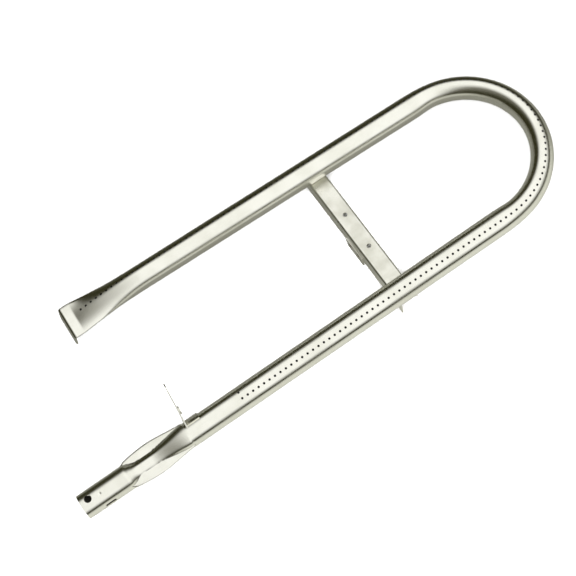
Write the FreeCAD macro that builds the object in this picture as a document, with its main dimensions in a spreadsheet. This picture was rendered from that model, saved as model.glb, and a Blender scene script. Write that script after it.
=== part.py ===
import FreeCAD, Part
import Sketcher
import math
import os
from FreeCAD import Placement, Rotation, Vector

# A U-shaped gas burner made of one stainless tube: a pinched air and gas inlet,
# a perforated leg, a 180 degree bend and a perforated return leg whose end is
# pressed flat and folded down. Each of these stretches is a node of its own.
# A folded strap joins the two legs from below.
# X runs along the inlet leg from its open mouth, Y across to the return leg,
# Z up. The origin is the centre of the inlet mouth.

doc = FreeCAD.newDocument("burner_assembly")

# ---------------------------------------------------------------- sizes (mm)
sheet = doc.addObject("Spreadsheet::Sheet", "sizes")

SIZES = {
    # tube
    "tube_od": 19.05,
    "wall": 0.9,
    "mouth_to_bend": 374.0,
    "leg_spacing": 117.2,
    "splay_deg": 1.93,
    # pinched inlet
    "mouth_length": 35.6,
    "shoulder_length": 7.5,
    "shoulder_end_length": 2.6,
    "pinch_length": 56.8,
    "throat_length": 19.0,
    "throat_half_width": 5.4,
    "throat_half_height": 5.4,
    "wing_half_width": 13.1,
    "wing_peak": 26.0,
    "wing_end_half_width": 10.3,
    "wing_rise": 1.6,
    "screw_hole_dia": 5.7,
    "screw_hole_from_mouth": 6.7,
    "dimple_from_mouth": 15.8,
    "dimple_dia": 1.6,
    "dimple_depth": 0.45,
    "dimple_turn_deg": 10.0,
    "slot_from_mouth": 18.9,
    "slot_length": 8.4,
    "slot_width": 3.3,
    "slot_turn_deg": 83.0,
    # ports
    "port_dia": 1.8,
    "port_pitch": 4.73,
    "port_first": 137.2,
    "port_count": 153,
    "port_turn_deg": 18.8,
    "carry_port_turn_deg": 11.9,
    # flattened end
    "flat_from_bend": 246.0,
    "flare_length": 60.2,
    "pad_length": 6.8,
    "pad_width": 28.2,
    "fold_radius": 2.4,
    "fold_deg": 82.0,
    "flange_drop": 10.6,
    "flange_corner": 2.5,
    # strap between the legs
    "strap_from_mouth": 271.2,
    "strap_width": 15.0,
    "strap_sheet": 1.0,
    "strap_overrun": 6.0,
    "strap_flange": 16.8,
    "strap_lip": 4.5,
    "strap_bend_radius": 1.8,
    "strap_hole_dia": 3.6,
    "strap_hole_from_edge": 8.1,
    "strap_hole_near": 46.8,
    "strap_hole_spacing": 31.6,
    # tab on the strap
    "tab_sheet": 0.9,
    "tab_length": 21.4,
    "tab_height": 13.8,
    "tab_drop": 10.5,
    "tab_from_axis": 45.2,
    "tab_corner": 2.0,
    # igniter bracket
    "bracket_sheet": 0.9,
    "bracket_gap": 0.2,
    "bracket_foot_length": 11.6,
    "bracket_foot_span_deg": 62.0,
    "bracket_turn_deg": 50.0,
    "bracket_leaf": 33.4,
    "bracket_leaf_width": 12.0,
    "bracket_lean_deg": 6.0,
    "bracket_hole_dia": 4.4,
    "bracket_hole_up": 10.5,
    "bracket_collar_dia": 6.4,
    "bracket_collar_height": 1.3,
    # welds
    "bead_radius": 2.6,
    "bead_from_axis": 4.2,
    "bead_length": 12.0,
    "nugget_dia": 3.2,
    "nugget_height": 0.35,
}

for row, (name, value) in enumerate(SIZES.items(), start=1):
    sheet.set("A%d" % row, name)
    sheet.set("B%d" % row, str(value))
    sheet.setAlias("B%d" % row, name)
doc.recompute()


def size(name):
    return float(getattr(sheet, name))


RING_POINTS = 72          # points round a ring of the pinched inlet
FLARE_POINTS = 40         # points round a plain oval ring
SHOULDER_STEPS = 7        # lofted steps along each stretch
PINCH_STEPS = 14
SHOULDER_END_STEPS = 4
FLARE_STEPS = 10
FOLD_STEPS = 5
SNAP = 0.001              # rings of neighbouring stretches are joined within this distance
CAVITY_END = 1.5          # the walls meet this far before the crease
CAVITY_END_GAP = 0.3      # height left between the walls where the cavity ends
WING_SWELL = 0.7          # below 1 the wings swell fast at first
CHANNEL_SWELL = 0.9       # below 1 the channel opens fast at first
THROAT_ARCH = 0.95        # roundness of the channel's arch at the throat, and where it is full
FULL_ARCH = 0.55
WING_TIP = 16             # higher is a squarer edge on the wings
PORT_DEPTH = 3            # walls that a drill starts below the surface
NUGGET_ROUNDING = 0.8     # share of a spot weld's height that its rim's rounding takes
SIDE_WALLS = 1.9          # walls between the channel's root and its cavity at the throat
PRESS_RATE = 1.7          # above 1 the end stays round longer before it is pressed flat
PRESSED_SQUARENESS = 6.0  # superellipse power of the pressed end, where 2 is an ellipse
radius = size("tube_od") / 2
wall = size("wall")
bend_radius = size("leg_spacing") / 2
bend_sweep = math.radians(180 - size("splay_deg"))
bend_start = size("mouth_to_bend")
bend_end = bend_start + bend_radius * bend_sweep
flat_start = bend_end + size("flat_from_bend")
crease = flat_start + size("flare_length")
pinch_end = size("mouth_length") + size("pinch_length")


# ---------------------------------------------------------------- tube path
def path_frame(along):
    """Centre point, heading and outward direction at a distance along the tube's axis."""
    if along <= bend_start:
        centre = Vector(along, 0, 0)
        turn = 0.0
    elif along <= bend_end:
        turn = (along - bend_start) / bend_radius
        centre = Vector(bend_start, bend_radius, 0)
        centre += Vector(math.sin(turn), -math.cos(turn), 0) * bend_radius
    else:
        turn = bend_sweep
        centre = Vector(bend_start, bend_radius, 0)
        centre += Vector(math.sin(turn), -math.cos(turn), 0) * bend_radius
        centre += Vector(math.cos(turn), math.sin(turn), 0) * (along - bend_end)
    heading = Vector(math.cos(turn), math.sin(turn), 0)
    outward = Vector(math.sin(turn), -math.cos(turn), 0)
    return centre, heading, outward


def path_point(along, out, up):
    centre, _, outward = path_frame(along)
    return centre + outward * out + Vector(0, 0, up)


def ease(value):
    """Smooth step from 0 to 1."""
    value = max(0.0, min(1.0, value))
    return value * value * (3 - 2 * value)


def closed_curve(points):
    curve = Part.BSplineCurve()
    curve.interpolate(Points=points, PeriodicFlag=True)
    return Part.Wire(curve.toShape())


def signed_power(value, exponent):
    return math.copysign(abs(value) ** exponent, value)


def oval_points(along, half_width, half_height, power, count):
    """Superellipse across the path: power 2 is an ellipse, more is squarer."""
    points = []
    for index in range(count):
        angle = 2 * math.pi * index / count
        out = half_width * signed_power(math.cos(angle), 2 / power)
        up = half_height * signed_power(math.sin(angle), 2 / power)
        points.append(path_point(along, out, up))
    return points


# ---------------------------------------------------------------- round tube and its flattened end
def flare_section(along):
    """Half width, half height and squareness where the end is pressed from round to flat."""
    share = max(0.0, min(1.0, (along - flat_start) / size("flare_length")))
    pressed = share ** PRESS_RATE
    half_height = radius + (wall - radius) * pressed
    half_width = radius + (size("pad_width") / 2 - radius) * pressed
    return half_width, half_height, 2.0 + (PRESSED_SQUARENESS - 2.0) * pressed ** 2


def flare_ring(along, inset):
    half_width, half_height, power = flare_section(along)
    half_height = max(half_height - inset, CAVITY_END_GAP / 2)
    return closed_curve(oval_points(along, half_width - inset, half_height, power, FLARE_POINTS))


def spaced(start, end, count):
    return [start + (end - start) * index / count for index in range(count + 1)]


def inlet_leg_rod(inset):
    return Part.makeCylinder(radius - inset, bend_start - pinch_end, Vector(pinch_end, 0, 0), Vector(1, 0, 0))


def bend_rod(inset):
    ring = Part.Wire(Part.Circle(Vector(bend_start, 0, 0), Vector(1, 0, 0), radius - inset).toShape())
    middle = Vector(bend_start, bend_radius, 0)
    return Part.Face(ring).revolve(middle, Vector(0, 0, 1), math.degrees(bend_sweep))


def return_leg_rod(inset):
    start, heading, _ = path_frame(bend_end)
    return Part.makeCylinder(radius - inset, flat_start - bend_end, start, heading)


def flare(inset, end):
    rings = [flare_ring(place, inset) for place in spaced(flat_start, end, FLARE_STEPS)]
    return Part.makeLoft(rings, True, False), rings[-1]


# ---------------------------------------------------------------- folded end of the return leg
fold = math.radians(size("fold_deg"))
fold_middle = size("fold_radius") - wall
fold_start = size("pad_length")
fold_end = fold_start + fold_middle * fold
flange_end = fold_end + size("flange_drop")


def strip_ring(past, narrowing=0.0):
    """Ring round the two pressed walls, at a distance past the crease along their middle."""
    turn = max(0.0, min(fold, (past - fold_start) / fold_middle))
    straight = max(0.0, past - fold_end)
    reach = min(past, fold_start) + fold_middle * math.sin(turn) + straight * math.cos(fold)
    drop = fold_middle * (1 - math.cos(turn)) + straight * math.sin(fold)
    centre, heading, outward = path_frame(crease + reach)
    normal = heading * math.sin(turn) + Vector(0, 0, math.cos(turn))
    half_width, half_height, power = flare_section(crease)
    points = []
    for index in range(FLARE_POINTS):
        angle = 2 * math.pi * index / FLARE_POINTS
        out = (half_width - narrowing) * signed_power(math.cos(angle), 2 / power)
        up = half_height * signed_power(math.sin(angle), 2 / power)
        points.append(centre - Vector(0, 0, drop) + outward * out + normal * up)
    return closed_curve(points)


def folded_strip(first):
    """Pad, fold and flange, each starting on the ring where the one before it ends."""
    pad_ring = strip_ring(fold_start)
    fold_rings = [pad_ring] + [strip_ring(place) for place in spaced(fold_start, fold_end, FOLD_STEPS)[1:]]
    corner = size("flange_corner")
    corner_start = flange_end - corner
    flange_ring = strip_ring(corner_start)
    corner_rings = [flange_ring]
    for step in (30, 60, 90):
        turn = math.radians(step)
        corner_rings.append(strip_ring(corner_start + corner * math.sin(turn), corner * (1 - math.cos(turn))))
    pad = Part.makeLoft([first, pad_ring], True, True)
    bend = Part.makeLoft(fold_rings, True, False)
    flange = Part.makeLoft([fold_rings[-1], flange_ring], True, True)
    tip = Part.makeLoft(corner_rings, True, False)
    return pad.fuse([bend, flange, tip])


# ---------------------------------------------------------------- pinched inlet section
def pinch_share(along):
    """0 where the inlet is a plain tube, 1 where it is fully pinched."""
    into = (along - size("mouth_length")) / size("shoulder_length")
    back = (pinch_end - along) / size("shoulder_end_length")
    return ease(into) * ease(back)


def wing_half_width(along):
    """The wings swell from the tube's radius to their peak and fall to a small step."""
    past = max(0.0, along - size("mouth_length"))
    peak = size("wing_peak")
    if past < peak:
        return radius + (size("wing_half_width") - radius) * math.sin(math.pi / 2 * past / peak) ** WING_SWELL
    fall = ease((past - peak) / (size("pinch_length") - peak))
    return size("wing_half_width") + (size("wing_end_half_width") - size("wing_half_width")) * fall


def channel_half_size(along):
    """Root half width and half height of the channel between the wings."""
    past = along - size("mouth_length") - size("shoulder_length") - size("throat_length")
    opening = size("pinch_length") - size("shoulder_length") - size("throat_length")
    share = ease(max(0.0, past) / opening) ** CHANNEL_SWELL
    half_width = size("throat_half_width") + (radius - size("throat_half_width")) * share
    half_height = size("throat_half_height") + (radius - size("throat_half_height")) * share
    return half_width, half_height, share


def inlet_ring(along):
    """Outer skin: a round tube, or two flat wings with an arched channel between them."""
    share = pinch_share(along)
    wing = wing_half_width(along)
    root, crown, open_share = channel_half_size(along)
    rise = size("wing_rise") * share
    arch_power = THROAT_ARCH + (FULL_ARCH - THROAT_ARCH) * open_share
    points = []
    for index in range(RING_POINTS):
        angle = 2 * math.pi * index / RING_POINTS
        side = math.cos(angle)
        upper = 1.0 if math.sin(angle) >= 0 else -1.0
        tip = (1 - abs(side) ** WING_TIP) ** 0.5
        arch = max(0.0, 1 - (wing * side / root) ** 2) ** arch_power
        top = rise + upper * wall * tip + upper * (crown - upper * rise - wall) * arch
        out = radius * side + (wing - radius) * side * share
        up = radius * math.sin(angle) * (1 - share) + top * share
        points.append(path_point(along, out, up))
    return closed_curve(points)


def inlet_cavity_ring(along):
    share = pinch_share(along)
    root, crown, open_share = channel_half_size(along)
    pinched_width = root - wall * (SIDE_WALLS + (1 - SIDE_WALLS) * open_share)
    half_width = (radius - wall) * (1 - share) + pinched_width * share
    half_height = (radius - wall) * (1 - share) + (crown - wall) * share
    return closed_curve(oval_points(along, half_width, half_height, 2.0, FLARE_POINTS))


def inlet_solid(ring, inset):
    """A plain round mouth, then the shoulder, the pinched stretch and the way back to round."""
    mouth_end = size("mouth_length")
    shoulder_end = mouth_end + size("shoulder_length")
    last_start = pinch_end - size("shoulder_end_length")
    rings = [ring(place) for place in spaced(mouth_end, shoulder_end, SHOULDER_STEPS)]
    rings += [ring(place) for place in spaced(shoulder_end, last_start, PINCH_STEPS)[1:]]
    rings += [ring(place) for place in spaced(last_start, pinch_end, SHOULDER_END_STEPS)[1:]]
    mouth = Part.makeCylinder(radius - inset, mouth_end, Vector(0, 0, 0), Vector(1, 0, 0))
    return mouth.fuse([Part.makeLoft(rings, True, False)], SNAP)


def shape_object(name, shape, placement=None):
    """A document object that holds a shape worked out from the sheet."""
    feature = doc.addObject("Part::Feature", name)
    feature.Shape = shape
    if placement is not None:
        feature.Placement = placement
    return feature


def cut_object(name, base, tool):
    cut = doc.addObject("Part::Cut", name)
    cut.Base = base
    cut.Tool = tool
    return cut


def fuse_objects(name, parts):
    fused = doc.addObject("Part::MultiFuse", name)
    fused.Shapes = parts
    return fused


# ---------------------------------------------------------------- pinched inlet
# Turns about the X axis start at the top and go towards the outer side (-Y).
inlet_outside = shape_object("inlet_outside", inlet_solid(inlet_ring, 0.0))
inlet_inside = shape_object("inlet_inside", inlet_solid(inlet_cavity_ring, wall))
inlet_wall = cut_object("inlet_wall", inlet_outside, inlet_inside)

screw_hole = doc.addObject("Part::Cylinder", "screw_hole")
screw_hole.setExpression("Radius", "sizes.screw_hole_dia / 2")
screw_hole.setExpression("Height", "sizes.tube_od")
screw_hole.setExpression("Placement.Base.x", "sizes.screw_hole_from_mouth")

slot_cutter = doc.addObject("Part::Box", "slot_cutter")
slot_cutter.setExpression("Length", "sizes.slot_length")
slot_cutter.setExpression("Width", "sizes.slot_width")
slot_cutter.setExpression("Height", "sizes.tube_od")
slot_turn = math.radians(size("slot_turn_deg"))
slot_start = Vector(
    size("slot_from_mouth") - size("slot_length") / 2,
    -math.cos(slot_turn) * size("slot_width") / 2,
    -math.sin(slot_turn) * size("slot_width") / 2,
)
slot_cutter.Placement = Placement(slot_start, Rotation(Vector(1, 0, 0), size("slot_turn_deg")))

dimple = doc.addObject("Part::Cone", "dimple")
dimple.Radius1 = 0
dimple.setExpression("Radius2", "sizes.dimple_dia")
dimple.setExpression("Height", "sizes.dimple_depth * 2")
dimple_turn = math.radians(size("dimple_turn_deg"))
dimple_reach = radius - size("dimple_depth")
dimple_y = -dimple_reach * math.sin(dimple_turn)
dimple_z = dimple_reach * math.cos(dimple_turn)
dimple.Placement = Placement(
    Vector(size("dimple_from_mouth"), dimple_y, dimple_z), Rotation(Vector(1, 0, 0), size("dimple_turn_deg")))

inlet_cutters = fuse_objects("inlet_cutters", [screw_hole, slot_cutter, dimple])
pinched_inlet = cut_object("pinched_inlet", inlet_wall, inlet_cutters)


# ---------------------------------------------------------------- ports
def port_pin(along, turn_deg):
    """A drill that starts inside the tube and comes out through the upper wall."""
    half_width, half_height, power = flare_section(along)
    turn = math.radians(turn_deg)
    out = radius * math.sin(turn)
    up = half_height * (1 - (abs(out) / half_width) ** power) ** (1 / power)
    lean = turn * (half_height / radius)
    outward = path_frame(along)[2]
    direction = outward * math.sin(lean) + Vector(0, 0, math.cos(lean))
    surface = path_point(along, out, up)
    depth = min(PORT_DEPTH * wall, up)
    return Part.makeCylinder(size("port_dia") / 2, depth + 2 * wall, surface - direction * depth, direction)


def port_pins(start, end):
    """The drills for the ports that lie on or across a stretch of the tube."""
    margin = size("port_dia")
    pins = []
    for index in range(int(size("port_count"))):
        place = size("port_first") + index * size("port_pitch")
        if start - margin < place < end + margin:
            pins.append(port_pin(place, size("port_turn_deg")))
    if start < size("port_first") < end:
        pins.append(port_pin(size("port_first"), -size("carry_port_turn_deg")))
    return Part.makeCompound(pins)


def tube_wall(name, rod):
    outside = shape_object(name + "_outside", rod(0.0))
    inside = shape_object(name + "_inside", rod(wall))
    return cut_object(name, outside, inside)


inlet_leg = cut_object(
    "inlet_leg", tube_wall("inlet_leg_wall", inlet_leg_rod),
    shape_object("inlet_leg_drills", port_pins(pinch_end, bend_start)))
return_bend = cut_object(
    "return_bend", tube_wall("bend_wall", bend_rod),
    shape_object("bend_drills", port_pins(bend_start, bend_end)))

return_leg_wall = tube_wall("return_leg_wall", return_leg_rod)
flare_outside, crease_ring = flare(0.0, crease)
flare_wall = flare_outside.cut(flare(wall, crease - CAVITY_END)[0]).fuse(folded_strip(crease_ring))
doc.recompute()
return_leg_blank = shape_object("return_leg_blank", return_leg_wall.Shape.fuse([flare_wall], SNAP))
return_leg = cut_object(
    "return_leg", return_leg_blank, shape_object("return_leg_drills", port_pins(bend_end, crease)))
doc.recompute()


# ---------------------------------------------------------------- strap under the legs
def bound_box(name, sizes, base):
    box = doc.addObject("Part::Box", name)
    for prop, expression in zip(("Length", "Width", "Height"), sizes):
        box.setExpression(prop, expression)
    for axis, expression in zip("xyz", base):
        box.setExpression("Placement.Base." + axis, expression)
    return box


# The return leg leans outward, so its axis is further off under the strap than at the bend.
strap_middle = "sizes.strap_from_mouth + sizes.strap_width / 2"
far_axis = (
    "(sizes.leg_spacing / 2 * (1 + cos(sizes.splay_deg)) + (sizes.mouth_to_bend - %s"
    " + sizes.leg_spacing / 2 * sin(sizes.splay_deg)) * tan(sizes.splay_deg))" % strap_middle)
strap_top = "(-sizes.tube_od / 2)"
strap_length = "%s + 2 * sizes.strap_overrun" % far_axis

strap_plate = bound_box(
    "strap_plate",
    ("sizes.strap_width", strap_length, "sizes.strap_sheet"),
    ("sizes.strap_from_mouth", "-sizes.strap_overrun", strap_top + " - sizes.strap_sheet"),
)
strap_flange = bound_box(
    "strap_flange",
    ("sizes.strap_sheet", strap_length, "sizes.strap_flange"),
    ("sizes.strap_from_mouth", "-sizes.strap_overrun", strap_top + " - sizes.strap_flange"),
)
strap_lip = bound_box(
    "strap_lip",
    ("sizes.strap_sheet", strap_length, "sizes.strap_lip"),
    ("sizes.strap_from_mouth + sizes.strap_width - sizes.strap_sheet", "-sizes.strap_overrun",
     strap_top + " - sizes.strap_lip"),
)
strap_blank = fuse_objects("strap_blank", [strap_plate, strap_flange, strap_lip])
strap_blank.Refine = True
doc.recompute()


def bend_edges(shape, x_values, z_value):
    """Numbers of the long edges along Y at the given X and Z."""
    found = []
    for number, edge in enumerate(shape.Edges, start=1):
        start, end = edge.Vertexes[0].Point, edge.Vertexes[-1].Point
        runs_along_y = abs(start.x - end.x) < 1e-6 and abs(start.z - end.z) < 1e-6
        if runs_along_y and abs(start.z - z_value) < 1e-6:
            if min(abs(start.x - x_value) for x_value in x_values) < 1e-6:
                found.append(number)
    return found


strap_left = size("strap_from_mouth")
strap_right = strap_left + size("strap_width")
sheet_gauge = size("strap_sheet")
outer_radius = size("strap_bend_radius")
inner_radius = outer_radius - sheet_gauge
outer_edges = bend_edges(strap_blank.Shape, (strap_left, strap_right), -radius)
inner_edges = bend_edges(
    strap_blank.Shape, (strap_left + sheet_gauge, strap_right - sheet_gauge), -radius - sheet_gauge)
strap_bent = doc.addObject("Part::Fillet", "strap_bent")
strap_bent.Base = strap_blank
strap_bent.Edges = [(number, outer_radius, outer_radius) for number in outer_edges] + \
    [(number, inner_radius, inner_radius) for number in inner_edges]

strap_drills = []
for name, shift in (("strap_hole_a", "0"), ("strap_hole_b", "sizes.strap_hole_spacing")):
    drill = doc.addObject("Part::Cylinder", name)
    drill.setExpression("Radius", "sizes.strap_hole_dia / 2")
    drill.setExpression("Height", "sizes.strap_sheet * 3")
    drill.setExpression("Placement.Base.x", "sizes.strap_from_mouth + sizes.strap_hole_from_edge")
    drill.setExpression("Placement.Base.y", "sizes.strap_hole_near + " + shift)
    drill.setExpression("Placement.Base.z", strap_top + " - sizes.strap_sheet * 2")
    strap_drills.append(drill)
cross_strap = cut_object("cross_strap", strap_bent, fuse_objects("strap_holes", strap_drills))


# ---------------------------------------------------------------- tab on the strap's flange
def origin_plane(body, role):
    return [item for item in body.Origin.OriginFeatures if item.Role == role][0]


def rectangle_sketch(body, name, plane, width, height):
    """A rectangle from the sketch's origin, its two sides bound to the sheet."""
    sketch = body.newObject("Sketcher::SketchObject", name)
    sketch.AttachmentSupport = [(origin_plane(body, plane), "")]
    sketch.MapMode = "FlatFace"
    corners = [Vector(0, 0, 0), Vector(10, 0, 0), Vector(10, 10, 0), Vector(0, 10, 0)]
    for index in range(4):
        sketch.addGeometry(Part.LineSegment(corners[index], corners[(index + 1) % 4]))
    for index in range(4):
        sketch.addConstraint(Sketcher.Constraint("Coincident", index, 2, (index + 1) % 4, 1))
    sketch.addConstraint(Sketcher.Constraint("Horizontal", 0))
    sketch.addConstraint(Sketcher.Constraint("Horizontal", 2))
    sketch.addConstraint(Sketcher.Constraint("Vertical", 1))
    sketch.addConstraint(Sketcher.Constraint("Vertical", 3))
    sketch.addConstraint(Sketcher.Constraint("Coincident", 0, 1, -1, 1))
    across = sketch.addConstraint(Sketcher.Constraint("Distance", 0, 10))
    high = sketch.addConstraint(Sketcher.Constraint("Distance", 1, 10))
    sketch.setExpression("Constraints[%d]" % across, width)
    sketch.setExpression("Constraints[%d]" % high, height)
    return sketch


def padded_body(name, plane, width, height, thickness):
    body = doc.addObject("PartDesign::Body", name)
    sketch = rectangle_sketch(body, name + "_outline", plane, width, height)
    pad = body.newObject("PartDesign::Pad", name + "_sheet")
    pad.Profile = sketch
    pad.setExpression("Length", thickness)
    doc.recompute()
    return body, pad


def round_corners(body, pad, name, direction, radius_expression, keep):
    """Fillet the edges along one direction that keep() accepts."""
    fillet = body.newObject("PartDesign::Fillet", name)
    chosen = []
    for number, edge in enumerate(pad.Shape.Edges, start=1):
        run = edge.Vertexes[-1].Point - edge.Vertexes[0].Point
        if run.cross(direction).Length < 1e-6 and keep(edge.CenterOfMass):
            chosen.append("Edge%d" % number)
    fillet.Base = (pad, chosen)
    fillet.setExpression("Radius", radius_expression)
    doc.recompute()
    return fillet


strap_tab, tab_pad = padded_body(
    "strap_tab", "YZ_Plane", "sizes.tab_length", "sizes.tab_height", "sizes.tab_sheet")
round_corners(
    strap_tab, tab_pad, "tab_corners", Vector(1, 0, 0), "sizes.tab_corner",
    lambda point: point.z < size("tab_height") / 2)
strap_tab.setExpression("Placement.Base.x", "sizes.strap_from_mouth - sizes.tab_sheet")
strap_tab.setExpression("Placement.Base.y", "sizes.tab_from_axis")
strap_tab.setExpression("Placement.Base.z", strap_top + " - sizes.tab_drop - sizes.tab_height")


# ---------------------------------------------------------------- igniter bracket
def bracket_foot():
    """Saddle that lies on the tube, centred on the X-Z plane and later turned into place."""
    length = size("bracket_foot_length")
    inner = Part.makeCylinder(radius, length, Vector(0, 0, 0), Vector(1, 0, 0))
    outer = Part.makeCylinder(radius + size("bracket_sheet"), length, Vector(0, 0, 0), Vector(1, 0, 0))
    half_span = math.radians(size("bracket_foot_span_deg") / 2)
    reach = 2 * size("tube_od")
    wedge = Part.Face(Part.makePolygon([
        Vector(0, 0, 0),
        Vector(0, reach * math.tan(half_span), reach),
        Vector(0, -reach * math.tan(half_span), reach),
        Vector(0, 0, 0),
    ])).extrude(Vector(length, 0, 0))
    return outer.cut(inner).common(wedge)


def bracket_leaf():
    """Upright sheet with a rounded tip, a hole and a raised collar around it."""
    gauge = size("bracket_sheet")
    half = size("bracket_leaf_width") / 2
    base = math.sqrt(radius ** 2 - half ** 2)
    top = radius + size("bracket_leaf")
    low_left = Vector(0, -half, base)
    low_right = Vector(0, half, base)
    shoulder_left = Vector(0, -half, top - half)
    shoulder_right = Vector(0, half, top - half)
    outline = Part.Wire([
        Part.makeLine(low_left, low_right),
        Part.makeLine(low_right, shoulder_right),
        Part.Arc(shoulder_right, Vector(0, 0, top), shoulder_left).toShape(),
        Part.makeLine(shoulder_left, low_left),
    ])
    leaf = Part.Face(outline).extrude(Vector(gauge, 0, 0))
    hole_centre = Vector(0, 0, radius + size("bracket_hole_up"))
    collar_length = gauge + size("bracket_collar_height")
    collar = Part.makeCylinder(size("bracket_collar_dia") / 2, collar_length, hole_centre, Vector(1, 0, 0))
    hole_radius = size("bracket_hole_dia") / 2
    hole_start = hole_centre - Vector(gauge, 0, 0)
    hole = Part.makeCylinder(hole_radius, collar_length + 2 * gauge, hole_start, Vector(1, 0, 0))
    leaf = leaf.fuse(collar).cut(hole)
    leaf.rotate(Vector(0, 0, base), Vector(0, 1, 0), size("bracket_lean_deg"))
    tube = Part.makeCylinder(radius, 2 * top, Vector(-top, 0, 0), Vector(1, 0, 0))
    return leaf.cut(tube)


bracket_place = Placement(
    Vector(pinch_end + size("bracket_gap"), 0, 0), Rotation(Vector(1, 0, 0), -size("bracket_turn_deg")))
igniter_bracket = shape_object("igniter_bracket", bracket_foot().fuse(bracket_leaf()), bracket_place)


# ---------------------------------------------------------------- welds
def bead(middle_x, leg_y, side):
    """A fillet bead in the wedge between the tube's underside and the strap's top."""
    thick = size("bead_radius")
    length = size("bead_length")
    start = Vector(middle_x - length / 2, leg_y + side * size("bead_from_axis"), -radius)
    rod = Part.makeCylinder(thick, length, start, Vector(1, 0, 0))
    ground = Part.makeBox(length, 2 * thick, thick, start - Vector(0, thick, thick))
    return rod.cut(ground)


def leg_rod(middle_x, leg_y, heading_deg):
    """A solid stand-in for the leg where it crosses the strap."""
    length = 3 * size("strap_width")
    rod = Part.makeCylinder(radius, length, Vector(-length / 2, 0, 0), Vector(1, 0, 0))
    rod.Placement = Placement(Vector(middle_x, leg_y, 0), Rotation(Vector(0, 0, 1), heading_deg))
    return rod


strap_centre = strap_left + size("strap_width") / 2
far_axis_y = strap_plate.Shape.BoundBox.YMax - size("strap_overrun")
strap_crossings = (("weld_inlet_leg", 0.0, 0.0), ("weld_return_leg", far_axis_y, -size("splay_deg")))
for name, leg_y, heading in strap_crossings:
    leg = leg_rod(strap_centre, leg_y, heading)
    shape_object(name, Part.makeCompound([bead(strap_centre, leg_y, side).cut(leg) for side in (-1, 1)]))


def nugget(centre, direction):
    """Low round button of a spot weld standing on a sheet."""
    button = Part.makeCylinder(size("nugget_dia") / 2, size("nugget_height"), centre, direction)
    rim = [edge for edge in button.Edges if isinstance(edge.Curve, Part.Circle)
           and (edge.CenterOfMass - centre).dot(direction) > size("nugget_height") / 2]
    return button.makeFillet(size("nugget_height") * NUGGET_ROUNDING, rim)


tab_middle_y = size("tab_from_axis") + size("tab_length") / 2
spot_z = -radius - (size("tab_drop") + size("strap_flange")) / 2
spot_x = strap_left - size("tab_sheet")
tab_spots = [
    nugget(Vector(spot_x, tab_middle_y + side * size("tab_length") / 4, spot_z), Vector(-1, 0, 0))
    for side in (-1, 1)
]
shape_object("weld_strap_tab", Part.makeCompound(tab_spots))


# ---------------------------------------------------------------- check and write
NODES = (
    "pinched_inlet",
    "inlet_leg",
    "return_bend",
    "return_leg",
    "cross_strap",
    "strap_tab",
    "igniter_bracket",
    "weld_inlet_leg",
    "weld_return_leg",
    "weld_strap_tab",
)

doc.recompute()
for item in doc.Objects:
    if "Invalid" in item.State or "Error" in item.State:
        raise RuntimeError("failed object: " + item.Name)

os.makedirs("parts", exist_ok=True)
for node in NODES:
    sub_part = doc.getObject(node)
    shape = sub_part.Shape
    if shape.isNull() or not shape.isValid():
        raise RuntimeError("bad shape: " + node)
    shape.exportStep("parts/%s.step" % sub_part.Label)
    box = shape.BoundBox
    print("%-18s solids %d volume %9.1f  X %.1f %.1f  Y %.1f %.1f  Z %.1f %.1f" % (
        node, len(shape.Solids), shape.Volume, box.XMin, box.XMax, box.YMin, box.YMax, box.ZMin, box.ZMax))
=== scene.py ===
import math

import bmesh
import bpy
import numpy as np
from mathutils import Matrix, Vector


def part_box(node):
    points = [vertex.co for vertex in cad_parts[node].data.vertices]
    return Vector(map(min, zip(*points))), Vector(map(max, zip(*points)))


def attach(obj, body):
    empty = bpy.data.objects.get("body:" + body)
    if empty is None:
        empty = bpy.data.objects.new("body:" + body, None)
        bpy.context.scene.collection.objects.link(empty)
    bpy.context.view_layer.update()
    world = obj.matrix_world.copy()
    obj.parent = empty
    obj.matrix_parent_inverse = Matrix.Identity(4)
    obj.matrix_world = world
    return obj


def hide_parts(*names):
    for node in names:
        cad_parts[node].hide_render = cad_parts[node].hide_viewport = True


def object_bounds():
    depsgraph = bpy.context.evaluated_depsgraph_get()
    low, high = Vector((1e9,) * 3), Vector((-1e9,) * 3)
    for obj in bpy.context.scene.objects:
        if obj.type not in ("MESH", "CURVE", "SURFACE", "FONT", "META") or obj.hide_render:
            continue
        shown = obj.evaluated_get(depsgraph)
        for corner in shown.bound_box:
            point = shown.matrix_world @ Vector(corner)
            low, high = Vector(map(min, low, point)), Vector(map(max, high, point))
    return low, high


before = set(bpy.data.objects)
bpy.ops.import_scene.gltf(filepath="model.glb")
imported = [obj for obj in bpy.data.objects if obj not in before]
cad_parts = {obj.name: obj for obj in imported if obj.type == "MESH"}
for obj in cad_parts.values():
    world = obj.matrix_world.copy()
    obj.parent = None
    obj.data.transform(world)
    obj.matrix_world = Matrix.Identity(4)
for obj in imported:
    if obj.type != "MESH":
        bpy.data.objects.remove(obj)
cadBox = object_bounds()
mm = 0.001  # metres in a millimetre


# ---- camera: long lens from above the outer side of the inlet leg
camera = {
    "place": (0.10996, -0.42275, 1.13654),
    "right": (0.82387, -0.54541, -0.15413),
    "up": (0.56082, 0.74520, 0.36076),
    "lens": 105.0,
    "sensor": 36.0,
}


def addCamera(values):
    data = bpy.data.cameras.new("camera")
    data.lens = values["lens"]
    data.sensor_width = values["sensor"]
    data.clip_start = 0.01
    right = Vector(values["right"]).normalized()
    up = Vector(values["up"])
    up = (up - right * up.dot(right)).normalized()
    turn = Matrix((right, up, right.cross(up))).transposed().to_4x4()
    camObject = bpy.data.objects.new("camera", data)
    camObject.matrix_world = Matrix.Translation(values["place"]) @ turn
    bpy.context.collection.objects.link(camObject)
    bpy.context.scene.camera = camObject


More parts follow.
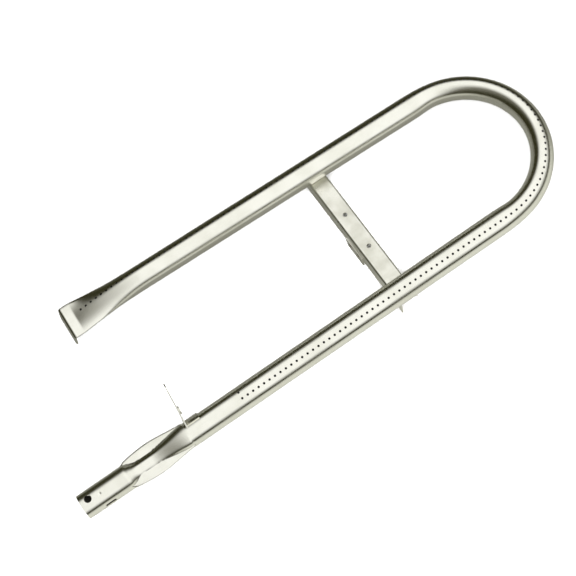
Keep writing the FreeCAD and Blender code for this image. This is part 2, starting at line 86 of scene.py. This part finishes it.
addCamera(camera)
bpy.context.scene.view_settings.view_transform = "Standard"
print("camera ready")


# ---- small helpers for node trees
class Tree:
    # a thin wrapper: add() makes a node, fills its inputs and links what is a socket
    def __init__(self, tree):
        self.tree = tree
        tree.nodes.clear()

    def add(self, kind, inputs=None, **settings):
        node = self.tree.nodes.new(kind)
        for name, value in settings.items():
            setattr(node, name, value)
        for name, value in (inputs or {}).items():
            self.plug(node.inputs[name], value)
        return node

    def plug(self, socket, value):
        if isinstance(value, bpy.types.NodeSocket):
            self.tree.links.new(value, socket)
        else:
            socket.default_value = value

    def math(self, operation, first, second=0.0, clamp=False):
        node = self.add("ShaderNodeMath", {0: first, 1: second}, operation=operation, use_clamp=clamp)
        return node.outputs[0]

    def multiplyAdd(self, value, factor, offset):
        node = self.add("ShaderNodeMath", {0: value, 1: factor, 2: offset}, operation="MULTIPLY_ADD")
        return node.outputs[0]

    def ramp(self, value, low, high, outLow=0.0, outHigh=1.0):
        # smooth step of value from low..high to outLow..outHigh
        node = self.add("ShaderNodeMapRange", {
            "Value": value, "From Min": low, "From Max": high, "To Min": outLow, "To Max": outHigh,
        }, interpolation_type="SMOOTHSTEP")
        return node.outputs["Result"]

    def mix(self, factor, first, second):
        node = self.add("ShaderNodeMix", data_type="RGBA")
        self.plug(node.inputs["Factor"], factor)
        self.plug(node.inputs["A"], first)
        self.plug(node.inputs["B"], second)
        return node.outputs["Result"]


def color(red, green, blue):
    return (red, green, blue, 1.0)


# ---- studio: pale floor, white room, one soft lamp near the camera
studio = {
    "floorSize": 6.0,
    "floorGap": 0.4 * mm,
    "floorColor": color(0.86, 0.86, 0.85),
    "litReach": 0.36,                # past this distance from the part's middle the floor starts to glow
    "floorReflectionPaint": color(0.74, 0.74, 0.66),
    "floorFront": (-0.40, -0.08),    # painted reflection: across the part the floor that metal sees turns pale
    # painted shade in the floor's reflection, between the legs and past the return leg
    "floorShadeBetween": (-0.05, 0.06, 1.0, 0.36),
    "floorShadeBeyond": (0.07, 0.28, 1.0, 0.14),
    "roomWhite": color(1.0, 1.0, 0.965),
    "roomGrey": color(0.16, 0.155, 0.125),
    "roomDark": color(0.030, 0.029, 0.012),
    "horizon": 0.572,
    "horizonSlope": (-0.10, 0.26),   # how much the horizon rises towards +X and +Y
    "horizonFade": (-0.24, 0.17),
    "mouthSide": (-0.52, -0.02),
    "greyFade": (-0.3, 0.3),
    "lampSize": 0.62,
    "lampPower": 43.0,
    "worldFill": 0.05,
    "roomStrength": 1.05,
}


def addFloor(values):
    low = cadBox[0][2] - values["floorGap"]
    half = values["floorSize"] / 2
    mesh = bpy.data.meshes.new("floor")
    corners = [(-half, -half, low), (half, -half, low), (half, half, low), (-half, half, low)]
    mesh.from_pydata(corners, [], [(0, 1, 2, 3)])
    floor = bpy.data.objects.new("floor", mesh)
    bpy.context.collection.objects.link(floor)
    material = bpy.data.materials.new("paleFloor")
    material.use_nodes = True
    tree = Tree(material.node_tree)
    path = tree.add("ShaderNodeLightPath").outputs
    cameraRay, glossyRay = path["Is Camera Ray"], path["Is Glossy Ray"]
    place = tree.add("ShaderNodeTexCoord").outputs["Object"]
    axes = tree.add("ShaderNodeSeparateXYZ", {0: place}).outputs
    # painted reflection for glossy rays: metal sees the floor pale in front, with painted shade making it
    # greyer between the legs and dark past the return leg
    front = tree.ramp(axes["Y"], *values["floorFront"])
    between = tree.ramp(axes["Y"], *values["floorShadeBetween"])
    beyond = tree.ramp(axes["Y"], *values["floorShadeBeyond"])
    reflectionShade = tree.math("MULTIPLY", tree.math("MULTIPLY", front, between), beyond)
    seen = tree.mix(reflectionShade, values["roomDark"], values["floorReflectionPaint"])
    # the floor is lit by the lamp round the part, so that shadows are real, and glows white further off
    middle = [(start + end) / 2 for start, end in zip(*cadBox)]
    aside = tree.add("ShaderNodeVectorMath", {0: place, 1: (middle[0], middle[1], 0.0)}, operation="DISTANCE")
    glowShare = tree.ramp(aside.outputs["Value"], values["litReach"], 1.5 * values["litReach"])
    matt = tree.add("ShaderNodeBsdfDiffuse", {"Color": values["floorColor"]}).outputs[0]
    glow = tree.add("ShaderNodeEmission", {"Color": color(1, 1, 1), "Strength": 1.0}).outputs[0]
    pale = tree.add("ShaderNodeMixShader", {"Fac": glowShare, 1: matt, 2: glow}).outputs[0]
    # painted reflection: the floor glows in this colour for glossy rays only
    paintedReflection = tree.add("ShaderNodeEmission", {"Color": seen, "Strength": 1.0}).outputs[0]
    forCamera = tree.add("ShaderNodeMixShader", {"Fac": cameraRay, 1: matt, 2: pale}).outputs[0]
    both = tree.add("ShaderNodeMixShader", {"Fac": glossyRay, 1: forCamera, 2: paintedReflection}).outputs[0]
    tree.add("ShaderNodeOutputMaterial", {"Surface": both})
    mesh.materials.append(material)


def addRoom(values):
    # what metal sees: white above a slanted horizon, dark below it and grey towards the mouth side
    world = bpy.data.worlds.new("room")
    bpy.context.scene.world = world
    world.use_nodes = True
    tree = Tree(world.node_tree)
    path = tree.add("ShaderNodeLightPath").outputs
    direction = tree.add("ShaderNodeTexCoord").outputs["Generated"]
    axes = tree.add("ShaderNodeSeparateXYZ", {0: direction}).outputs
    slopeX, slopeY = values["horizonSlope"]
    edge = tree.multiplyAdd(axes["Y"], slopeY, values["horizon"])
    height = tree.math("SUBTRACT", axes["Z"], edge)
    height = tree.math("SUBTRACT", height, tree.math("MULTIPLY", axes["X"], slopeX))
    above = tree.ramp(height, *values["horizonFade"])
    ahead = tree.ramp(axes["X"], *values["mouthSide"])
    grey = tree.mix(tree.ramp(height, *values["greyFade"]), values["roomDark"], values["roomGrey"])
    seen = tree.mix(tree.math("MULTIPLY", above, ahead), grey, values["roomWhite"])
    white = color(1, 1, 1)
    plain = tree.add("ShaderNodeBackground", {"Color": white, "Strength": values["worldFill"]}).outputs[0]
    room = tree.add("ShaderNodeBackground", {"Color": seen, "Strength": values["roomStrength"]}).outputs[0]
    backdrop = tree.add("ShaderNodeBackground", {"Color": white, "Strength": 1.0}).outputs[0]
    first = tree.add("ShaderNodeMixShader", {"Fac": path["Is Glossy Ray"], 1: plain, 2: room}).outputs[0]
    final = tree.add("ShaderNodeMixShader", {"Fac": path["Is Camera Ray"], 1: first, 2: backdrop}).outputs[0]
    tree.add("ShaderNodeOutputWorld", {"Surface": final})


def addLamp(values):
    data = bpy.data.lights.new("softLamp", "AREA")
    data.size = values["lampSize"]
    data.energy = values["lampPower"]
    lamp = bpy.data.objects.new("softLamp", data)
    middle = [(low + high) / 2 for low, high in zip(*cadBox)]
    lamp.location = camera["place"]
    lamp.rotation_euler = (Vector(camera["place"]) - Vector(middle)).to_track_quat("Z", "Y").to_euler()
    lamp.visible_glossy = False
    bpy.context.collection.objects.link(lamp)


addFloor(studio)
addRoom(studio)
addLamp(studio)
print("studio ready")


# ---- shared finishes
def makeGroup(name, inputs, outputs):
    group = bpy.data.node_groups.new(name, "ShaderNodeTree")
    for label, kind, default in inputs:
        socket = group.interface.new_socket(name=label, in_out="INPUT", socket_type=kind)
        if default is not None:
            socket.default_value = default
    for label, kind in outputs:
        group.interface.new_socket(name=label, in_out="OUTPUT", socket_type=kind)
    tree = Tree(group)
    return group, tree, tree.add("NodeGroupInput").outputs, tree.add("NodeGroupOutput")


def makeDrawnGrain():
    # fine lines along the first coordinate, from noise squeezed hard across it
    group, tree, given, result = makeGroup(
        "drawnGrain",
        [
            ("Vector", "NodeSocketVector", None),
            ("Lines", "NodeSocketFloat", 2600.0),
            ("Run", "NodeSocketFloat", 22.0),
        ],
        [("Lines", "NodeSocketFloat"), ("Scuff", "NodeSocketFloat")])
    parts = tree.add("ShaderNodeSeparateXYZ", {0: given["Vector"]}).outputs
    long = tree.math("MULTIPLY", parts["X"], given["Run"])
    across = tree.math("MULTIPLY", parts["Y"], given["Lines"])
    deep = tree.math("MULTIPLY", parts["Z"], given["Lines"])
    place = tree.add("ShaderNodeCombineXYZ", {0: long, 1: across, 2: deep}).outputs[0]
    fine = tree.add("ShaderNodeTexNoise", {"Vector": place, "Scale": 1.0, "Detail": 4.0, "Roughness": 0.6})
    scuff = tree.add("ShaderNodeTexNoise", {"Vector": place, "Scale": 0.11, "Detail": 2.0})
    tree.plug(result.inputs["Lines"], fine.outputs[0])
    tree.plug(result.inputs["Scuff"], scuff.outputs[0])
    return group


def makeMottle():
    # soft cloudy patches with a few small marks, for rolled sheet and handled tube
    group, tree, given, result = makeGroup(
        "mottle",
        [("Vector", "NodeSocketVector", None), ("Size", "NodeSocketFloat", 60.0)],
        [("Cloud", "NodeSocketFloat"), ("Marks", "NodeSocketFloat")])
    cloud = tree.add("ShaderNodeTexNoise", {"Vector": given["Vector"], "Detail": 3.0, "Roughness": 0.55})
    tree.plug(cloud.inputs["Scale"], given["Size"])
    small = tree.add("ShaderNodeTexNoise", {"Vector": given["Vector"], "Detail": 2.0})
    tree.plug(small.inputs["Scale"], tree.math("MULTIPLY", given["Size"], 7.0))
    tree.plug(result.inputs["Cloud"], cloud.outputs[0])
    tree.plug(result.inputs["Marks"], tree.ramp(small.outputs[0], 0.60, 0.74))
    return group


drawnGrain = makeDrawnGrain()
mottle = makeMottle()

finishes = {
    "tubeSteel": {"light": color(0.95, 0.945, 0.89), "dark": color(0.87, 0.865, 0.79), "rough": 0.17,
                  "spread": 0.10, "lines": 2200.0, "run": 16.0, "clouds": 42.0, "bump": 0.05, "uv": True},
    "sheetSteel": {"light": color(0.94, 0.935, 0.87), "dark": color(0.76, 0.755, 0.67), "rough": 0.24,
                   "spread": 0.16, "lines": 1400.0, "run": 40.0, "clouds": 75.0, "bump": 0.08, "uv": False},
    # the bore's dark colour is painted shade inside the tube
    "shadedBoreSteel": {"light": color(0.20, 0.195, 0.17), "dark": color(0.10, 0.095, 0.08), "rough": 0.50,
                  "spread": 0.10, "lines": 900.0, "run": 30.0, "clouds": 60.0, "bump": 0.10, "uv": True},
    "weldSteel": {"light": color(0.62, 0.58, 0.50), "dark": color(0.30, 0.26, 0.20), "rough": 0.34,
                  "spread": 0.22, "lines": 900.0, "run": 500.0, "clouds": 420.0, "bump": 0.30, "uv": False},
}


# how far scuffs, clouds and marks pull any steel towards its dark color
wear = {
    "scuffShare": 0.35,
    "cloudRange": (0.34, 0.70),
    "cloudShare": 0.65,
    "markShare": 0.25,
    "bumpHeight": 0.4 * mm,
}


def makeSteel(name, values):
    material = bpy.data.materials.new(name)
    material.use_nodes = True
    tree = Tree(material.node_tree)
    if values["uv"]:
        place = tree.add("ShaderNodeUVMap", uv_map="skin").outputs[0]
    else:
        place = tree.add("ShaderNodeTexCoord").outputs["Object"]
    grain = tree.add("ShaderNodeGroup", node_tree=drawnGrain)
    tree.plug(grain.inputs["Vector"], place)
    grain.inputs["Lines"].default_value = values["lines"]
    grain.inputs["Run"].default_value = values["run"]
    patches = tree.add("ShaderNodeGroup", node_tree=mottle)
    tree.plug(patches.inputs["Vector"], place)
    patches.inputs["Size"].default_value = values["clouds"]
    scuffTone = tree.math("MULTIPLY", grain.outputs["Scuff"], wear["scuffShare"])
    cloudTone = tree.ramp(patches.outputs["Cloud"], *wear["cloudRange"], 0.0, wear["cloudShare"])
    tone = tree.math("ADD", scuffTone, cloudTone, clamp=True)
    base = tree.mix(tone, values["light"], values["dark"])
    base = tree.mix(tree.math("MULTIPLY", patches.outputs["Marks"], wear["markShare"]), base, values["dark"])
    gloss = tree.multiplyAdd(tone, values["spread"], values["rough"])
    bump = tree.add("ShaderNodeBump", {"Strength": values["bump"], "Distance": wear["bumpHeight"]})
    tree.plug(bump.inputs["Height"], grain.outputs["Lines"])
    surface = tree.add("ShaderNodeBsdfPrincipled", {"Metallic": 1.0})
    tree.plug(surface.inputs["Base Color"], base)
    tree.plug(surface.inputs["Roughness"], gloss)
    tree.plug(surface.inputs["Normal"], bump.outputs[0])
    tree.add("ShaderNodeOutputMaterial", {"Surface": surface.outputs[0]})
    return material


steels = {name: makeSteel(name, values) for name, values in finishes.items()}
print("finishes ready")


# ---- the bent tube: its path and sections, shared by its four pieces
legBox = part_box("inlet_leg")
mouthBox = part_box("pinched_inlet")
tube = {
    "radius": (legBox[1][2] - legBox[0][2]) / 2,
    "wall": 0.9 * mm,
    "bendStart": legBox[1][0],
    "bendRadius": 58.6 * mm,
    "bendSweep": math.radians(180 - 1.93),
    "bendSqueeze": 0.10,     # the bend is narrower than the tube by this share
    "squeezeFade": 22 * mm,
    "pinchEnd": mouthBox[1][0],
    "flatFromBend": 246 * mm,
    "flareLength": 60.2 * mm,
    "pressRate": 1.7,
    "padHalfWidth": 14.1 * mm,
    "layerGap": 0.06 * mm,
    "padLength": 6.8 * mm,
    "foldRadius": 1.5 * mm,  # at the middle of the two layers
    "foldTurn": math.radians(82),
    "flangeDrop": 10.6 * mm,
    "flangeCorner": 2.5 * mm,
    "cornerZone": 6 * mm,
}
bendEnd = tube["bendStart"] + tube["bendRadius"] * tube["bendSweep"]
flatStart = bendEnd + tube["flatFromBend"]
crease = flatStart + tube["flareLength"]
foldEnd = tube["padLength"] + tube["foldRadius"] * tube["foldTurn"]
tubeEnd = crease + foldEnd + tube["flangeDrop"]


def ease(value):
    value = np.clip(value, 0, 1)
    return value * value * (3 - 2 * value)


def blend(first, second, share):
    return first + (second - first) * share


def pathAt(along):
    # straight leg, arc of bendRadius through bendSweep, straight return leg
    turn = np.clip((along - tube["bendStart"]) / tube["bendRadius"], 0, tube["bendSweep"])
    first = np.minimum(along, tube["bendStart"])
    last = np.maximum(along - bendEnd, 0)
    x = first + tube["bendRadius"] * np.sin(turn) + last * np.cos(turn)
    y = tube["bendRadius"] * (1 - np.cos(turn)) + last * np.sin(turn)
    return x, y, turn


def pressedSection(theta, inset):
    # a stadium of two flats and two half rounds, walked by its length from the middle of the top
    height = np.where(inset > 0, tube["layerGap"] / 2, tube["wall"])
    flat = tube["padHalfWidth"] - tube["wall"]
    length = np.abs(theta) / math.pi * (2 * flat + math.pi * height)
    roundTurn = np.clip((length - flat) / height, 0, math.pi)
    back = np.maximum(length - flat - math.pi * height, 0)
    out = np.minimum(length, flat) + height * np.sin(roundTurn) - back
    return np.sign(theta) * out, height * np.cos(roundTurn)


def tubeSurface(along, theta, inset):
    # a circle carried along the path: squeezed in the bend, then pressed from round to a folded strip
    size = tube["radius"] - inset
    fade = ease((along - tube["bendStart"]) / tube["squeezeFade"] + 0.5)
    fade = fade * ease((bendEnd - along) / tube["squeezeFade"] + 0.5)
    theta = (theta + math.pi) % (2 * math.pi) - math.pi
    out = size * np.sin(theta) * (1 - tube["bendSqueeze"] * fade)
    up = size * np.cos(theta)
    pressed = np.clip((along - flatStart) / tube["flareLength"], 0, 1) ** tube["pressRate"]
    flatOut, flatUp = pressedSection(theta, inset)
    out = blend(out, flatOut, pressed)
    up = blend(up, flatUp, pressed)
    # the strip's corners are rounded by drawing its end back near both edges
    beyond = np.abs(out) - (tube["padHalfWidth"] - tube["flangeCorner"])
    beyond = np.clip(beyond / tube["flangeCorner"], 0, 1)
    drawBack = tube["flangeCorner"] * (1 - np.sqrt(1 - beyond ** 2))
    near = np.clip((along - tubeEnd) / tube["cornerZone"] + 1, 0, 1)
    past = np.maximum(along - near * drawBack - crease, 0)
    turn = np.clip((past - tube["padLength"]) / tube["foldRadius"], 0, tube["foldTurn"])
    straight = np.maximum(past - foldEnd, 0)
    reach = np.minimum(past, tube["padLength"]) + tube["foldRadius"] * np.sin(turn)
    reach = reach + straight * math.cos(tube["foldTurn"])
    drop = tube["foldRadius"] * (1 - np.cos(turn)) + straight * math.sin(tube["foldTurn"])
    x, y, heading = pathAt(np.minimum(along, crease) + reach)
    lean = up * np.sin(turn)
    x = x + out * np.sin(heading) + lean * np.cos(heading)
    y = y - out * np.cos(heading) + lean * np.sin(heading)
    return np.stack([x, y, up * np.cos(turn) - drop], axis=-1)


# ---- the pinched inlet's sections
inlet = {
    "mouthLength": 35.6 * mm,
    "shoulder": 5 * mm,
    "narrowing": 14 * mm,
    "shoulderEnd": 2.6 * mm,
    "throatLength": 10 * mm,
    "throatHalfWidth": 5.4 * mm,
    "throatHalfHeight": 5.4 * mm,
    "wingHalfWidth": 13.05 * mm,
    "wingPeak": 26 * mm,
    "wingEndHalfWidth": 10.3 * mm,
    "wingRise": 1.6 * mm,
    "swellPower": 0.7,
    "openPower": 0.9,
    "tipPower": 16,
    "archRound": 0.5,        # an arch of power 0.5 is a half circle
    "archSoften": 0.42,
    "throatWallGain": 0.9,
    "dimplePlace": (15.8 * mm, math.radians(10)),
    "dimpleReach": 0.9 * mm,
    "dimpleDepth": 0.4 * mm,
    "dimpleFall": 2,
}


def inletSurface(along, theta, inset):
    # a circle that turns into two flat wings with an arched channel between them, and back
    pinchStart = inlet["mouthLength"]
    pinchLength = tube["pinchEnd"] - pinchStart
    share = ease((along - pinchStart) / inlet["shoulder"])
    share = share * ease((tube["pinchEnd"] - along) / inlet["shoulderEnd"])
    past = np.maximum(along - pinchStart, 0)
    swell = np.sin(math.pi / 2 * np.clip(past / inlet["wingPeak"], 0, 1)) ** inlet["swellPower"]
    fall = ease((past - inlet["wingPeak"]) / (pinchLength - inlet["wingPeak"]))
    wing = blend(tube["radius"], inlet["wingHalfWidth"], swell)
    wing = blend(wing, inlet["wingEndHalfWidth"], fall)
    opening = pinchLength - inlet["narrowing"] - inlet["throatLength"]
    opened = ease((past - inlet["narrowing"] - inlet["throatLength"]) / opening) ** inlet["openPower"]
    narrow = ease(past / inlet["narrowing"]) * (1 - opened)
    root = blend(tube["radius"], inlet["throatHalfWidth"], narrow)
    crown = blend(tube["radius"], inlet["throatHalfHeight"], narrow)
    side = np.sin(theta)
    upper = np.where(np.cos(theta) >= 0, 1.0, -1.0)
    rise = inlet["wingRise"] * share
    tip = np.sqrt(np.maximum(0, 1 - np.abs(side) ** inlet["tipPower"]))
    archPower = inlet["archRound"] + inlet["archSoften"] * narrow
    arch = np.maximum(0, 1 - (wing * side / root) ** 2) ** archPower
    top = rise + upper * tube["wall"] * tip + upper * (crown - upper * rise - tube["wall"]) * arch
    outerOut = blend(tube["radius"], wing, share) * side
    outerUp = blend(tube["radius"] * np.cos(theta), top, share)
    cavityWidth = root - tube["wall"] * (1 + inlet["throatWallGain"] * narrow)
    bore = tube["radius"] - tube["wall"]
    innerOut = blend(bore, cavityWidth, share) * side
    innerUp = blend(bore, crown - tube["wall"], share) * np.cos(theta)
    inside = inset > 0
    out = np.where(inside, innerOut, outerOut)
    up = np.where(inside, innerUp, outerUp)
    place, turn = inlet["dimplePlace"]
    away = np.hypot(along - place, (theta - turn) * tube["radius"]) / inlet["dimpleReach"]
    pit = np.where(inside, 0.0, inlet["dimpleDepth"] * np.exp(-away ** 2 * inlet["dimpleFall"]))
    up = up - pit
    return np.stack([along, -out, up], axis=-1)


# ---- skins with real holes in them
def gridPoints(rows, columns):
    along, theta = np.meshgrid(rows, columns, indexing="ij")
    return np.stack([along.ravel(), theta.ravel()], axis=-1)


ringShares = (0.5, 0.82, 1.0)  # where the rings lie between a block's edge and its hole's outline
sharpAngle = math.radians(32)


def punch(points, faces, keep, rows, columns, hole):
    # the grid's cells in a block round one hole make way for rings from the block's edge to its outline
    place, turn, halfLength, halfWidth, power, marginRows, marginColumns = hole
    middleRow = int(np.argmin(np.abs(rows - place)))
    middleColumn = int(np.argmin(np.abs(columns - turn)))
    top, bottom = middleRow - marginRows, middleRow + marginRows
    left, right = middleColumn - marginColumns, middleColumn + marginColumns
    keep[top:bottom, left:right] = False
    acrossCount = len(columns)
    edge = [(row, left) for row in range(top, bottom)]
    edge += [(bottom, column) for column in range(left, right)]
    edge += [(row, right) for row in range(bottom, top, -1)]
    edge += [(top, column) for column in range(right, left, -1)]
    edge = np.array(edge)
    indices = edge[:, 0] * acrossCount + edge[:, 1]
    boundary = np.stack([rows[edge[:, 0]], columns[edge[:, 1]]], axis=-1)
    blockLength = (rows[bottom] - rows[top]) / 2
    blockWidth = (columns[right] - columns[left]) / 2
    angle = np.arctan2((boundary[:, 1] - turn) / blockWidth, (boundary[:, 0] - place) / blockLength)
    outline = np.stack([
        place + halfLength * np.sign(np.cos(angle)) * np.abs(np.cos(angle)) ** (2 / power),
        turn + halfWidth / tube["radius"] * np.sign(np.sin(angle)) * np.abs(np.sin(angle)) ** (2 / power),
    ], axis=-1)
    start = sum(len(block) for block in points)
    previous = indices
    for ring, share in enumerate(ringShares):
        current = start + ring * len(edge) + np.arange(len(edge))
        points.append(blend(boundary, outline, share))
        faces.append(np.stack([previous, np.roll(previous, -1), np.roll(current, -1), current], axis=-1))
        previous = current


def makeSkin(name, surface, rows, columns, holes):
    # outer and inner surface over the same grid, joined by walls round every free edge
    points = [gridPoints(rows, columns)]
    faces = []
    keep = np.ones((len(rows) - 1, len(columns) - 1), bool)
    for hole in holes:
        punch(points, faces, keep, rows, columns, hole)
    row, column = np.nonzero(keep)
    corner = row * len(columns) + column
    faces.append(np.stack([corner, corner + len(columns), corner + len(columns) + 1, corner + 1], axis=-1))
    points = np.concatenate(points)
    faces = np.concatenate(faces)[:, ::-1]
    # the first and last column are the same line, so the last one is folded onto the first
    same = np.arange(len(points))
    gridCount = len(rows) * len(columns)
    last = np.arange(len(columns) - 1, gridCount, len(columns))
    same[last] = last - (len(columns) - 1)
    welded = same[faces]
    outer = surface(points[:, 0], points[:, 1], np.float64(0.0))
    inner = surface(points[:, 0], points[:, 1], np.float64(tube["wall"]))
    edges = np.concatenate([welded[:, [i, (i + 1) % 4]] for i in range(4)])
    key = np.sort(edges, axis=1)
    _, index, count = np.unique(key, axis=0, return_index=True, return_counts=True)
    free = edges[index[count == 1]]
    total = len(points)
    walls = np.stack([free[:, 1], free[:, 0], free[:, 0] + total, free[:, 1] + total], axis=-1)
    allFaces = np.concatenate([welded, welded[:, ::-1] + total, walls])
    # uv: distance along the tube and round it, with the seam column kept apart
    unwelded = np.concatenate([faces, faces[:, ::-1], walls % total])
    uv = points[unwelded.ravel()] * np.array([1.0, tube["radius"]])
    mesh = bpy.data.meshes.new(name)
    mesh.from_pydata(np.concatenate([outer, inner]).tolist(), [], allFaces.tolist())
    layer = mesh.uv_layers.new(name="skin")
    layer.data.foreach_set("uv", uv.astype(np.float32).ravel())
    piece = finishPiece(name, mesh, "tubeSteel")
    # the inside of the tube is dull, and its dark colour is painted shade inside the bore
    mesh.materials.append(steels["shadedBoreSteel"])
    inside = np.zeros(len(allFaces), np.int32)
    inside[len(welded):2 * len(welded)] = 1
    mesh.polygons.foreach_set("material_index", inside)
    return piece


def finishPiece(name, mesh, steel):
    work = bmesh.new()
    work.from_mesh(mesh)
    loose = [vertex for vertex in work.verts if not vertex.link_faces]
    bmesh.ops.delete(work, geom=loose, context="VERTS")
    work.to_mesh(mesh)
    work.free()
    mesh.materials.append(steels[steel])
    mesh.shade_smooth()
    mesh.set_sharp_from_angle(angle=sharpAngle)
    piece = bpy.data.objects.new(name, mesh)
    bpy.context.collection.objects.link(piece)
    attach(piece, "root")
    return piece


ports = {
    "radius": 0.9 * mm,
    "pitch": 4.73 * mm,
    "first": 137.2 * mm,
    "count": 153,
    "turn": math.radians(18.8),
    "carryTurn": math.radians(-11.9),
    "rowsPerPitch": 6,
    "columns": 48,
    "outlinePower": 2.0,     # 2 is a round outline
    "marginRows": 3,
    "marginColumns": 2,
}
turns = ports["turn"] + np.linspace(-math.pi, math.pi, ports["columns"] + 1)
rowGap = ports["pitch"] / ports["rowsPerPitch"]
leastRow = 0.3  # the end rows are at least this share of a row apart from the rest


def portHole(place, turn):
    size = ports["radius"]
    return (place, turn, size, size, ports["outlinePower"], ports["marginRows"], ports["marginColumns"])


def portHoles(start, end):
    places = [ports["first"] + number * ports["pitch"] for number in range(ports["count"])]
    holes = [portHole(place, ports["turn"]) for place in places if start < place < end]
    # one more port beside the first carries the flame over
    if start < ports["first"] < end:
        holes.append(portHole(ports["first"], ports["carryTurn"]))
    return holes


def portRow(number):
    # half way between the port of this number and the next one
    return ports["first"] + (number + 0.5) * ports["pitch"]


def tubePiece(name, start, end, node, ending=()):
    # rows keep the ports' own spacing, so that every port sits in the middle of its block of cells
    firstStep = math.ceil((start - portRow(0)) / rowGap + leastRow)
    lastStep = math.floor((end - portRow(0)) / rowGap - leastRow)
    middleRows = portRow(0) + np.arange(firstStep, lastStep + 1) * rowGap
    rows = np.concatenate([[start], middleRows, [end], ending])
    piece = makeSkin(name, tubeSurface, rows, turns, portHoles(start, end))
    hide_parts(node)


firstSplit = portRow(round((tube["bendStart"] - ports["first"]) / ports["pitch"]))
secondSplit = portRow(round((bendEnd - ports["first"]) / ports["pitch"]))
padEnd = crease + tube["padLength"]
foldRows = np.concatenate([
    np.linspace(padEnd, crease + foldEnd, 8)[1:],
    np.linspace(crease + foldEnd, tubeEnd, 16)[1:],
])
tubePiece("inletLeg", tube["pinchEnd"], firstSplit, "inlet_leg")
tubePiece("returnBend", firstSplit, secondSplit, "return_bend")
tubePiece("returnLeg", secondSplit, padEnd, "return_leg", foldRows)
print("tube ready")

inletHoles = {
    "columns": 144,
    "rowGap": 0.5 * mm,
    "screwHole": (6.7 * mm, 0.0, 2.85 * mm, 2.85 * mm, 2.0, 8, 10),
    "slot": (18.9 * mm, math.radians(83), 4.2 * mm, 1.65 * mm, 8.0, 10, 6),
}
inletRows = np.linspace(0, tube["pinchEnd"], round(tube["pinchEnd"] / inletHoles["rowGap"]) + 1)
inletTurns = np.linspace(-math.pi, math.pi, inletHoles["columns"] + 1)
inletPiece = makeSkin(
    "pinchedInlet", inletSurface, inletRows, inletTurns, [inletHoles["screwHole"], inletHoles["slot"]])
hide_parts("pinched_inlet")
print("inlet ready")


# ---- sheet pieces and welds keep their construction shapes
for node, steel in (
    ("cross_strap", "sheetSteel"),
    ("strap_tab", "sheetSteel"),
    ("igniter_bracket", "sheetSteel"),
    ("weld_inlet_leg", "weldSteel"),
    ("weld_return_leg", "weldSteel"),
    ("weld_strap_tab", "weldSteel"),
):
    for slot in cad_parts[node].material_slots:
        slot.material = steels[steel]
print("sheet pieces ready")
